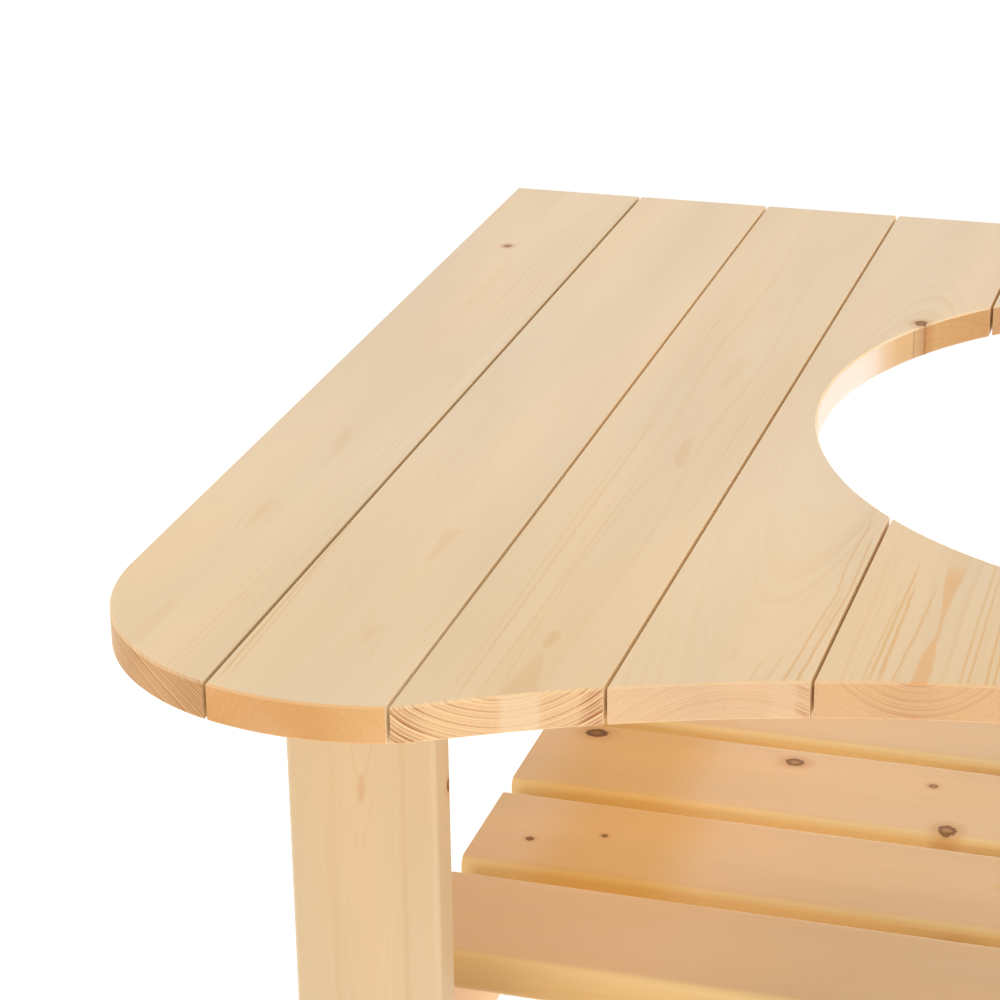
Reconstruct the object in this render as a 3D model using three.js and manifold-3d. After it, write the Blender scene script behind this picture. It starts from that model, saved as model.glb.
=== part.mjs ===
// Kamado grill table in pine: a planked top with a round cut-out, four board legs and a slatted shelf.
// Millimetres. X runs to the right, Y to the back and Z up.
// The origin is on the floor, under the middle of the top.

import * as THREE from "three";
import { mergeVertices } from "three/addons/utils/BufferGeometryUtils.js";
import Module from "manifold-3d";

const wasm = await Module();
wasm.setup();

const tableHeight = 780;

// Top planks, laid side by side. They run from back to front. At each end of the top so many keep at least a
// part of their width beside the cut-out, which divides the others into a front and a rear piece.
const sidePlankCount = 4;
const plankWidth = 95.5;
const plankGap = 2;
const plankThickness = 21;

// Eased arrises: round the outline of the top and the cut-out, and along the gaps between the planks.
const outlineEase = 1.2;
const gapEase = 0.4;

// Front outline of the top, from the straight end to the hollow middle: arcs, each tangent to the next.
const cornerRadius = 137;
const cornerTurn = 72.4;
const noseFrontRadius = 170;
const noseFrontTurn = 34.5;
const noseInnerRadius = 40;
const noseInnerTurn = 14;

// Round cut-out that the grill stands in, and the wood left behind it and, at the middle, in front of it.
const cutOutRadius = 270;
const woodBehindCutOut = 106;
const woodInFrontOfCutOut = 109;

// Legs. They stand in two pairs, at equal distances in front of and behind the middle of the frame, which lies
// a little behind the middle of the cut-out.
const legWidth = 88;
const legThickness = 28;
const legEdgeRadius = 5;
const legFromEnd = 84;
const frameBehindCutOut = 5.4;

// Foot pads under the legs.
const padThickness = 5;
const padInset = 3;
const padChamfer = 1;

// Shelf boards. Their upper face lies this far below the upper face of the table, and they stop short of the
// outer faces of the bearers under them.
const shelfDrop = 278;
const shelfEndSetback = 4;
const shelfBoardWidth = 95;
const shelfBoardThickness = 28;
const shelfBoardGap = 14;
const shelfEdgeRadius = 6;

// Framing timber under the top and the shelf. The long cleats lie between the cut-out and the legs.
const cleatWidth = 45;
const cleatHeight = 28;
const cleatFromEnd = 25;
const cleatFromCutOut = 12;
const longCleatFromCutOut = 16.5;
const bearerThickness = 28;
const bearerHeight = 70;
const railThickness = 28;
const frameEdgeRadius = 2;
const shelfBayCount = 3;

// Steel angle brackets.
const bracketSteel = 2.5;
const bracketBend = 5;
const bracketFlange = 40;
const bracketTopHeight = 50;
const bracketShelfHeight = 28;
const bracketDrop = 4;

// Coach screws that hold the shelf rails to the legs.
const screwShankRadius = 4;
const screwInLeg = 20;
const screwPoint = 6;
const screwHeadAcrossCorners = 15;
const screwHeadFlats = 6;
const screwHeadHeight = 5.5;
const washerRadius = 9;
const washerThickness = 2;
const screwFromRailEdge = 20;

// Clearances, and how finely curves are cut into flats.
const jointGap = 0.3;
const boreClearance = 0.3;
const chordHeight = 0.04;
const cutOverrun = 10;
const edgeSegments = 5;
const smallEdgeSegments = 2;
const boreSegments = 16;

// Places that follow from the sizes above. The depth runs from the back edge to the two noses, and a reach runs
// from the middle of the frame to the front and to the back alike.
const plankPitch = plankWidth + plankGap;
const dividedPlankCount = Math.floor((cutOutRadius + plankGap / 2) / plankPitch);
const sideToMiddleCount = sidePlankCount + dividedPlankCount;
const topEndX = sideToMiddleCount * plankPitch - plankGap / 2;
const leftFront = leftFrontOutline();
const noseBeforeHollow = leftFront[leftFront.length - 1].y;
const tableDepth = woodBehindCutOut + 2 * cutOutRadius + woodInFrontOfCutOut + noseBeforeHollow;
const backY = tableDepth / 2;
const noseY = -backY;
const cutOutY = backY - woodBehindCutOut - cutOutRadius;
const frameMiddleY = cutOutY + frameBehindCutOut;
const plankUndersideZ = tableHeight - plankThickness;
const legInnerReach = cutOutRadius + longCleatFromCutOut + cleatWidth;
const legMiddleX = topEndX - legFromEnd - legWidth / 2;
const legOuterX = legMiddleX + legWidth / 2;
const legMiddleReach = legInnerReach + jointGap + legThickness / 2;
const cleatTopZ = plankUndersideZ - jointGap;
const topBearerTopZ = cleatTopZ - cleatHeight - jointGap;
const shelfTopZ = tableHeight - shelfDrop;
const shelfFrameTopZ = shelfTopZ - shelfBoardThickness - jointGap;
const shelfEndX = legMiddleX + bearerThickness / 2 - shelfEndSetback;
const railInnerReach = legInnerReach - railThickness;

const pine = { color: 0xe7cfa6, roughness: 0.6, metalness: 0 };
const steel = { color: 0xb9bcbe, roughness: 0.35, metalness: 1 };
const plastic = { color: 0x2b2b2b, roughness: 0.7, metalness: 0 };

const table = new THREE.Group();

// Puts a named mesh with its own material into the table.
function add(name, geometry, finish, parent = table) {
  const mesh = new THREE.Mesh(geometry, new THREE.MeshStandardMaterial(finish));
  mesh.name = name;
  parent.add(mesh);
  return mesh;
}

// Turns a closed geometry into a solid for cutting and joining.
function toSolid(geometry) {
  const plain = geometry.clone();
  plain.deleteAttribute("normal");
  plain.deleteAttribute("uv");
  const merged = mergeVertices(plain);
  const index = merged.index.array;
  const triVerts = [];
  for (let i = 0; i < index.length; i += 3) {
    const [a, b, c] = index.slice(i, i + 3);
    if (a !== b && b !== c && c !== a) {
      triVerts.push(a, b, c);
    }
  }
  const vertProperties = new Float32Array(merged.attributes.position.array);
  return new wasm.Manifold(
    new wasm.Mesh({ numProp: 3, vertProperties, triVerts: new Uint32Array(triVerts) }),
  );
}

// Turns a solid back into a geometry with flat faces.
function toGeometry(solid) {
  const mesh = solid.getMesh();
  const positions = new THREE.BufferAttribute(mesh.vertProperties, mesh.numProp);
  const indexed = new THREE.BufferGeometry();
  indexed.setAttribute("position", positions);
  indexed.setIndex(new THREE.BufferAttribute(mesh.triVerts, 1));
  const geometry = indexed.toNonIndexed();
  geometry.computeVertexNormals();
  return geometry;
}

// The number of flats that keeps an arc within the chord height.
function arcSteps(radius, turn) {
  const flatTurn = 2 * Math.acos(1 - chordHeight / radius);
  return Math.max(1, Math.ceil(Math.abs(turn) / flatTurn));
}

// Walks a chain of arcs, each tangent to the one before. A positive turn bends to the left.
function walkArcs(start, startHeading, arcs) {
  const points = [];
  let at = start;
  let heading = startHeading;
  for (const { radius, turn } of arcs) {
    const side = Math.sign(turn) * radius;
    const centre = new THREE.Vector2(at.x - side * Math.sin(heading), at.y + side * Math.cos(heading));
    const steps = arcSteps(radius, turn);
    for (let i = 1; i <= steps; i += 1) {
      const now = heading + (turn * i) / steps;
      points.push(new THREE.Vector2(centre.x + side * Math.sin(now), centre.y - side * Math.cos(now)));
    }
    at = points[points.length - 1];
    heading += turn;
  }
  return { points, at, heading };
}

// The left half of the front outline, from the straight left edge to the middle. Its nose is at Y 0.
function leftFrontOutline() {
  const down = -Math.PI / 2;
  const noseArcs = [
    { radius: cornerRadius, turn: THREE.MathUtils.degToRad(cornerTurn) },
    { radius: noseFrontRadius, turn: THREE.MathUtils.degToRad(noseFrontTurn) },
    { radius: noseInnerRadius, turn: THREE.MathUtils.degToRad(noseInnerTurn) },
  ];
  const headingAtCornerEnd = down + noseArcs[0].turn;
  const cornerFall = cornerRadius * Math.cos(headingAtCornerEnd);
  const noseFall = noseFrontRadius * (1 - Math.cos(headingAtCornerEnd));
  const start = new THREE.Vector2(-topEndX, cornerFall + noseFall);
  const nose = walkArcs(start, down, noseArcs);
  const sweepRadius = -nose.at.x / Math.sin(nose.heading);
  const sweep = walkArcs(nose.at, nose.heading, [{ radius: sweepRadius, turn: -nose.heading }]);
  return [start, ...nose.points, ...sweep.points];
}

// The whole top as one slab with eased edges, before it is divided into planks.
function topSlab() {
  const rightFront = leftFront
    .slice(0, -1)
    .reverse()
    .map((point) => new THREE.Vector2(-point.x, point.y));
  const backLeft = new THREE.Vector2(-topEndX, tableDepth);
  const backRight = new THREE.Vector2(topEndX, tableDepth);
  const shape = new THREE.Shape([backLeft, ...leftFront, ...rightFront, backRight]);
  const geometry = new THREE.ExtrudeGeometry(shape, {
    depth: plankThickness - 2 * outlineEase,
    bevelThickness: outlineEase,
    bevelSize: outlineEase,
    bevelOffset: -outlineEase,
    bevelSegments: 1,
  });
  return toSolid(geometry.translate(0, noseY, plankUndersideZ + outlineEase));
}

// The cutter for the round cut-out. It flares at both faces, which eases the rim.
function cutOutCutter() {
  const flare = cutOutRadius + outlineEase + cutOverrun;
  const profile = [
    new THREE.Vector2(0, -cutOverrun),
    new THREE.Vector2(flare, -cutOverrun),
    new THREE.Vector2(cutOutRadius, outlineEase),
    new THREE.Vector2(cutOutRadius, plankThickness - outlineEase),
    new THREE.Vector2(flare, plankThickness + cutOverrun),
    new THREE.Vector2(0, plankThickness + cutOverrun),
  ];
  const geometry = new THREE.LatheGeometry(profile, arcSteps(cutOutRadius, 2 * Math.PI));
  return toSolid(geometry.rotateX(Math.PI / 2).translate(0, cutOutY, plankUndersideZ));
}

// The strip that one plank takes from the slab. Its slanted corners ease the plank's long edges.
function plankStrip(middleX, fromY, toY) {
  const half = plankWidth / 2;
  const overrunHalf = half - gapEase - cutOverrun;
  const section = new THREE.Shape([
    new THREE.Vector2(-overrunHalf, -cutOverrun),
    new THREE.Vector2(overrunHalf, -cutOverrun),
    new THREE.Vector2(half, gapEase),
    new THREE.Vector2(half, plankThickness - gapEase),
    new THREE.Vector2(overrunHalf, plankThickness + cutOverrun),
    new THREE.Vector2(-overrunHalf, plankThickness + cutOverrun),
    new THREE.Vector2(-half, plankThickness - gapEase),
    new THREE.Vector2(-half, gapEase),
  ]);
  const geometry = new THREE.ExtrudeGeometry(section, { depth: toY - fromY, bevelEnabled: false });
  return toSolid(geometry.rotateX(Math.PI / 2).translate(middleX, toY, plankUndersideZ));
}

// Top planks, numbered on each side from the outside inwards.
function addPlanks() {
  const slab = topSlab();
  const cutter = cutOutCutter();
  const frontY = noseY - cutOverrun;
  const rearY = backY + cutOverrun;
  for (const side of sides) {
    for (let i = 0; i < sideToMiddleCount; i += 1) {
      const middleX = side.x * (topEndX - plankWidth / 2 - i * plankPitch);
      const number = i < sidePlankCount ? i + 1 : i + 1 - sidePlankCount;
      const spans =
        i < sidePlankCount
          ? [[`plank_${side.word}_${number}`, frontY, rearY]]
          : [
              [`plank_front_${side.word}_${number}`, frontY, cutOutY],
              [`plank_rear_${side.word}_${number}`, cutOutY, rearY],
            ];
      for (const [name, fromY, toY] of spans) {
        const solid = slab.intersect(plankStrip(middleX, fromY, toY)).subtract(cutter);
        add(name, toGeometry(solid), pine);
      }
    }
  }
}

// A rectangle with round corners, centred on the origin.
function roundedRectangle(width, height, radius) {
  const x = width / 2 - radius;
  const y = height / 2 - radius;
  const quarter = Math.PI / 2;
  const shape = new THREE.Shape();
  shape.absarc(x, y, radius, 0, quarter);
  shape.absarc(-x, y, radius, quarter, 2 * quarter);
  shape.absarc(-x, -y, radius, 2 * quarter, 3 * quarter);
  shape.absarc(x, -y, radius, 3 * quarter, 4 * quarter);
  return shape;
}

// A planed board with rounded long edges. It starts at the origin and runs along +Z.
function board(width, height, length, radius, curveSegments) {
  const section = roundedRectangle(width, height, radius);
  return new THREE.ExtrudeGeometry(section, { depth: length, bevelEnabled: false, curveSegments });
}

// A board of framing timber that runs along X, between two ends, with its middle at Y and its top at Z.
function boardAlongX(name, fromX, toX, middleY, topZ, width, height) {
  const geometry = board(height, width, toX - fromX, frameEdgeRadius, smallEdgeSegments);
  const mesh = add(name, geometry, pine);
  mesh.rotation.y = Math.PI / 2;
  mesh.position.set(fromX, middleY, topZ - height / 2);
  return mesh;
}

// A board of framing timber that runs along Y, between two ends, with its middle at X and its top at Z.
function boardAlongY(name, fromY, toY, middleX, topZ, width, height) {
  const geometry = board(width, height, toY - fromY, frameEdgeRadius, smallEdgeSegments);
  const mesh = add(name, geometry, pine);
  mesh.rotation.x = -Math.PI / 2;
  mesh.position.set(middleX, fromY, topZ - height / 2);
  return mesh;
}

// A cylinder along Y that starts at the origin, as a solid for cutting.
function boreAlongY(radius, length) {
  const geometry = new THREE.CylinderGeometry(radius, radius, length, boreSegments);
  return toSolid(geometry.translate(0, length / 2, 0));
}

const sides = [
  { word: "left", x: -1 },
  { word: "right", x: 1 },
];
const rows = [
  { word: "front", y: -1 },
  { word: "rear", y: 1 },
];

// The corners in turn, each a quarter turn on from the one before.
const corners = [
  { word: "front_left", x: -1, y: -1 },
  { word: "front_right", x: 1, y: -1 },
  { word: "rear_right", x: 1, y: 1 },
  { word: "rear_left", x: -1, y: 1 },
];

// Where the coach screws of one leg sit: in the strips on both sides of the bearer, one high and one low.
const screwFromBearer = (legWidth - bearerThickness) / 2 / 2;
const screwPlaces = [
  { word: "outer", fromMiddle: bearerThickness / 2 + screwFromBearer, z: shelfFrameTopZ - screwFromRailEdge },
  {
    word: "inner",
    fromMiddle: -bearerThickness / 2 - screwFromBearer,
    z: shelfFrameTopZ - bearerHeight + screwFromRailEdge,
  },
];

// Legs, with a blind bore for each coach screw.
function addLegs() {
  const bottomZ = padThickness + jointGap;
  const length = plankUndersideZ - jointGap - bottomZ;
  const boreDepth = screwInLeg + boreClearance + cutOverrun;
  for (const corner of corners) {
    const middleX = corner.x * legMiddleX;
    const middleY = frameMiddleY + corner.y * legMiddleReach;
    const geometry = board(legWidth, legThickness, length, legEdgeRadius, edgeSegments);
    let leg = toSolid(geometry.translate(middleX, middleY, bottomZ));
    const innerFaceY = middleY - (corner.y * legThickness) / 2;
    const boreStartY = corner.y > 0 ? innerFaceY - cutOverrun : innerFaceY + cutOverrun - boreDepth;
    for (const place of screwPlaces) {
      const bore = boreAlongY(screwShankRadius + boreClearance, boreDepth);
      const x = corner.x * (legMiddleX + place.fromMiddle);
      leg = leg.subtract(bore.translate([x, boreStartY, place.z]));
    }
    add(`leg_${corner.word}`, toGeometry(leg), pine);
  }
}

// Foot pads, a little smaller than the legs above them, with chamfered edges.
function addFootPads() {
  const outline = roundedRectangle(legWidth - 2 * padInset, legThickness - 2 * padInset, legEdgeRadius);
  for (const corner of corners) {
    const geometry = new THREE.ExtrudeGeometry(outline, {
      depth: padThickness - 2 * padChamfer,
      bevelThickness: padChamfer,
      bevelSize: padChamfer,
      bevelOffset: -padChamfer,
      bevelSegments: 1,
      curveSegments: edgeSegments,
    });
    const pad = add(`foot_pad_${corner.word}`, geometry, plastic);
    pad.position.set(corner.x * legMiddleX, frameMiddleY + corner.y * legMiddleReach, padChamfer);
  }
}

// Cleats flat under the planks, and the bearers that carry them from leg to leg.
function addTopFrame() {
  const cleatEndX = topEndX - cleatFromEnd;
  const cleatMiddleReach = legInnerReach - cleatWidth / 2;
  for (const row of rows) {
    const middleY = frameMiddleY + row.y * cleatMiddleReach;
    boardAlongX(`cleat_${row.word}`, -cleatEndX, cleatEndX, middleY, cleatTopZ, cleatWidth, cleatHeight);
  }
  const cleatInnerX = cutOutRadius + cleatFromCutOut;
  boardAlongX("cleat_left", -cleatEndX, -cleatInnerX, cutOutY, cleatTopZ, cleatWidth, cleatHeight);
  boardAlongX("cleat_right", cleatInnerX, cleatEndX, cutOutY, cleatTopZ, cleatWidth, cleatHeight);
  for (const side of sides) {
    boardAlongY(
      `top_bearer_${side.word}`,
      frameMiddleY - legInnerReach,
      frameMiddleY + legInnerReach,
      side.x * legMiddleX,
      topBearerTopZ,
      bearerThickness,
      bearerHeight,
    );
  }
}

// Shelf rails, bored for the coach screws.
function addShelfRails() {
  const railMiddleReach = legInnerReach - railThickness / 2;
  for (const row of rows) {
    const middleY = frameMiddleY + row.y * railMiddleReach;
    const timber = board(bearerHeight, railThickness, 2 * legOuterX, frameEdgeRadius, smallEdgeSegments);
    const placed = timber
      .rotateY(Math.PI / 2)
      .translate(-legOuterX, middleY, shelfFrameTopZ - bearerHeight / 2);
    let rail = toSolid(placed);
    const length = railThickness + 2 * cutOverrun;
    for (const side of sides) {
      for (const place of screwPlaces) {
        const bore = boreAlongY(screwShankRadius + boreClearance, length);
        const x = side.x * (legMiddleX + place.fromMiddle);
        rail = rail.subtract(bore.translate([x, middleY - length / 2, place.z]));
      }
    }
    add(`shelf_rail_${row.word}`, toGeometry(rail), pine);
  }
}

// Shelf bearers between the rails. The outer two are in line with the legs and end the shelf.
function addShelfBearers() {
  const reach = railInnerReach - jointGap;
  for (let i = 0; i <= shelfBayCount; i += 1) {
    const middleX = legMiddleX * ((2 * i) / shelfBayCount - 1);
    boardAlongY(
      `shelf_bearer_${i + 1}`,
      frameMiddleY - reach,
      frameMiddleY + reach,
      middleX,
      shelfFrameTopZ,
      bearerThickness,
      bearerHeight,
    );
  }
}

// Shelf boards, flush with the outer bearers: one along the middle of the frame, and on each side of it as
// many as fit between the legs.
function addShelfBoards() {
  const pitch = shelfBoardWidth + shelfBoardGap;
  const countPerSide = Math.floor((legInnerReach - shelfBoardWidth / 2) / pitch);
  for (let i = -countPerSide; i <= countPerSide; i += 1) {
    const geometry = board(
      shelfBoardThickness,
      shelfBoardWidth,
      2 * shelfEndX,
      shelfEdgeRadius,
      edgeSegments,
    );
    const mesh = add(`shelf_board_${countPerSide + i + 1}`, geometry, pine);
    mesh.rotation.y = Math.PI / 2;
    mesh.position.set(-shelfEndX, frameMiddleY + i * pitch, shelfTopZ - shelfBoardThickness / 2);
  }
}

// A steel angle with a round bend. Its flanges lie along +X and +Y, and it stands up along +Z.
function bracket(flangeX, flangeY, height) {
  const shape = new THREE.Shape();
  shape.moveTo(flangeX, 0);
  shape.lineTo(flangeX, bracketSteel);
  shape.lineTo(bracketBend, bracketSteel);
  shape.absarc(bracketBend, bracketBend, bracketBend - bracketSteel, -Math.PI / 2, -Math.PI, true);
  shape.lineTo(bracketSteel, flangeY);
  shape.lineTo(0, flangeY);
  shape.lineTo(0, bracketBend);
  shape.absarc(bracketBend, bracketBend, bracketBend, -Math.PI, -Math.PI / 2);
  const settings = { depth: height, bevelEnabled: false, curveSegments: edgeSegments };
  return new THREE.ExtrudeGeometry(shape, settings);
}

// Brackets in the inner corners: top bearers to legs, and outer shelf bearers to shelf rails.
function addBrackets() {
  const legFlange = (legWidth - bearerThickness) / 2 - legEdgeRadius - jointGap;
  const levels = [
    {
      word: "top",
      reach: legInnerReach,
      flange: legFlange,
      height: bracketTopHeight,
      z: topBearerTopZ - (bearerHeight + bracketTopHeight) / 2,
    },
    {
      word: "shelf",
      reach: railInnerReach - jointGap,
      flange: bracketFlange,
      height: bracketShelfHeight,
      z: shelfFrameTopZ - bracketDrop - bracketShelfHeight,
    },
  ];
  for (const level of levels) {
    corners.forEach((corner, quarterTurns) => {
      // Each quarter turn swaps the flange against the leg or rail with the flange against the bearer.
      const flanges = [level.flange, bracketFlange];
      if (quarterTurns % 2 === 1) {
        flanges.reverse();
      }
      const geometry = bracket(flanges[0], flanges[1], level.height);
      const mesh = add(`bracket_${level.word}_${corner.word}`, geometry, steel);
      mesh.rotation.z = (quarterTurns * Math.PI) / 2;
      const cornerX = corner.x * (legMiddleX - bearerThickness / 2 - jointGap);
      mesh.position.set(cornerX, frameMiddleY + corner.y * level.reach, level.z);
    });
  }
}

// A coach screw with its washer, pointing along +Y, with the washer's seat at the origin.
function coachScrew() {
  const inWood = railThickness + jointGap + screwInLeg;
  const shankProfile = [
    new THREE.Vector2(0, -washerThickness - screwHeadHeight / 2),
    new THREE.Vector2(screwShankRadius, -washerThickness - screwHeadHeight / 2),
    new THREE.Vector2(screwShankRadius, inWood - screwPoint),
    new THREE.Vector2(0, inWood),
  ];
  const shank = toSolid(new THREE.LatheGeometry(shankProfile, boreSegments));
  const washerGeometry = new THREE.CylinderGeometry(
    washerRadius,
    washerRadius,
    washerThickness,
    2 * boreSegments,
  );
  const washer = toSolid(washerGeometry.translate(0, -washerThickness / 2, 0));
  const headGeometry = new THREE.CylinderGeometry(
    screwHeadAcrossCorners / 2,
    screwHeadAcrossCorners / 2,
    screwHeadHeight,
    screwHeadFlats,
  );
  const head = toSolid(headGeometry.translate(0, -washerThickness - screwHeadHeight / 2, 0));
  return toGeometry(washer.add(head).add(shank));
}

// Two coach screws through the shelf rail into each leg, with their heads on the rail's inner face.
function addCoachScrews() {
  for (const corner of corners) {
    for (const place of screwPlaces) {
      const mesh = add(`coach_screw_${corner.word}_${place.word}`, coachScrew(), steel);
      mesh.rotation.z = corner.y > 0 ? 0 : Math.PI;
      mesh.position.set(
        corner.x * (legMiddleX + place.fromMiddle),
        frameMiddleY + corner.y * (railInnerReach - jointGap),
        place.z,
      );
    }
  }
}

addPlanks();
addLegs();
addFootPads();
addTopFrame();
addShelfRails();
addShelfBearers();
addShelfBoards();
addBrackets();
addCoachScrews();

export default table;
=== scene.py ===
"""Looks of a pine grill table: procedural timber, steel and plastic on the solids, and small wood screws."""

import math
import random

import bpy
from mathutils import Matrix, Vector


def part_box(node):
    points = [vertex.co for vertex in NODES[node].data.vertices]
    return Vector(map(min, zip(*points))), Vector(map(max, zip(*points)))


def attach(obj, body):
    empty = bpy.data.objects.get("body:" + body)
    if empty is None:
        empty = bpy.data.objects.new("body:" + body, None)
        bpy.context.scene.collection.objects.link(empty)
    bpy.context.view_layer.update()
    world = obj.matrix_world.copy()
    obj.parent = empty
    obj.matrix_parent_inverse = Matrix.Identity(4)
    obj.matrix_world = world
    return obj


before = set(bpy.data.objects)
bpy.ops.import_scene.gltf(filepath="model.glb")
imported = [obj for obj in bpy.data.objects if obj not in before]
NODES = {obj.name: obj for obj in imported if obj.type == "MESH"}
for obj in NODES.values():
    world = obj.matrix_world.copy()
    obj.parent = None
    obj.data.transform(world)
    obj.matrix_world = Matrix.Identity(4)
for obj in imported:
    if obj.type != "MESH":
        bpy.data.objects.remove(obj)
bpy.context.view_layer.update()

MM = 0.001


class Net:
    """A node tree, with short calls that add its nodes and links."""

    def __init__(self, tree):
        self.tree = tree

    def put(self, value, socket):
        """Links a socket's value, or sets a plain one."""
        if isinstance(value, bpy.types.NodeSocket):
            self.tree.links.new(value, socket)
        else:
            socket.default_value = value

    def add(self, kind, inputs=None, **settings):
        """A new node, with its inputs by name or number and its settings by name."""
        node = self.tree.nodes.new(kind)
        for name, value in settings.items():
            setattr(node, name, value)
        for key, value in (inputs or {}).items():
            self.put(value, node.inputs[key])
        return node

    def math(self, operation, *values, clamp=False):
        inputs = dict(enumerate(values))
        return self.add("ShaderNodeMath", inputs, operation=operation, use_clamp=clamp).outputs[0]

    def vector_math(self, operation, *values):
        inputs = dict(enumerate(values))
        node = self.add("ShaderNodeVectorMath", inputs, operation=operation)
        return node.outputs["Value" if operation == "LENGTH" else "Vector"]

    def scaled(self, vector, scale):
        return self.vector_math("MULTIPLY", vector, (scale, scale, scale))

    def split(self, vector):
        return self.add("ShaderNodeSeparateXYZ", {0: vector}).outputs

    def join(self, x, y, z):
        return self.add("ShaderNodeCombineXYZ", {0: x, 1: y, 2: z}).outputs[0]

    def noise(self, vector, detail=2.0, roughness=0.5):
        inputs = {"Vector": vector, "Scale": 1.0, "Detail": detail, "Roughness": roughness}
        return self.add("ShaderNodeTexNoise", inputs).outputs

    def white_noise(self, value):
        return self.add("ShaderNodeTexWhiteNoise", {"W": value}, noise_dimensions="1D").outputs

    def ramp(self, value, low, high, to_low=0.0, to_high=1.0, kind="SMOOTHSTEP"):
        """Goes from to_low to to_high while the value goes from low to high, and stays there."""
        node = self.add("ShaderNodeMapRange", interpolation_type=kind, clamp=True)
        for key, given in enumerate((value, low, high, to_low, to_high)):
            self.put(given, node.inputs[key])
        return node.outputs[0]

    def mix(self, factor, first, second, blend="MIX"):
        node = self.add("ShaderNodeMix", data_type="RGBA", blend_type=blend)
        for key, value in (("Factor_Float", factor), ("A_Color", first), ("B_Color", second)):
            self.put(value, next(s for s in node.inputs if s.identifier == key))
        return next(s for s in node.outputs if s.identifier == "Result_Color")

    def tinted(self, colour, tint):
        return self.mix(1.0, colour, tint, "MULTIPLY")


def linear(red, green, blue):
    """A screen colour of 0 to 255 as the linear colour that shaders take."""
    return tuple(((c / 255 + 0.055) / 1.055) ** 2.4 for c in (red, green, blue)) + (1.0,)


WHITE = (1.0, 1.0, 1.0, 1.0)
FLOAT, VECTOR, COLOUR = "NodeSocketFloat", "NodeSocketVector", "NodeSocketColor"


def new_group(name, inputs, outputs):
    """A shader node group with the given sockets, as its tree, its net, and its input and output sockets."""
    tree = bpy.data.node_groups.new(name, "ShaderNodeTree")
    for kind, sockets in inputs.items():
        for socket in sockets:
            tree.interface.new_socket(name=socket, in_out="INPUT", socket_type=kind)
    for kind, sockets in outputs.items():
        for socket in sockets:
            tree.interface.new_socket(name=socket, in_out="OUTPUT", socket_type=kind)
    net = Net(tree)
    given = net.add("NodeGroupInput").outputs
    return tree, net, given, net.add("NodeGroupOutput").inputs


# The noises of two boards lie this far apart for each step of 1 between their seeds.
SEED_STRIDE = 7.31

# Colours inside the wood that no finish changes, and the colour of the painted highlight on the arris.
REDDISH_END = linear(230, 192, 156)
PALE_END = linear(226, 199, 160)
PAINTED_ARRIS_HIGHLIGHT = linear(240, 212, 174)
CRACK = linear(120, 72, 40)
KNOT_HALO = linear(196, 128, 70)
KNOT_RIM = linear(108, 64, 4)

# Hearts of knots: a dark dead one and a paler live one.
DARK_HEART = linear(148, 94, 16)
PALE_HEART = linear(178, 128, 66)


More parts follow.
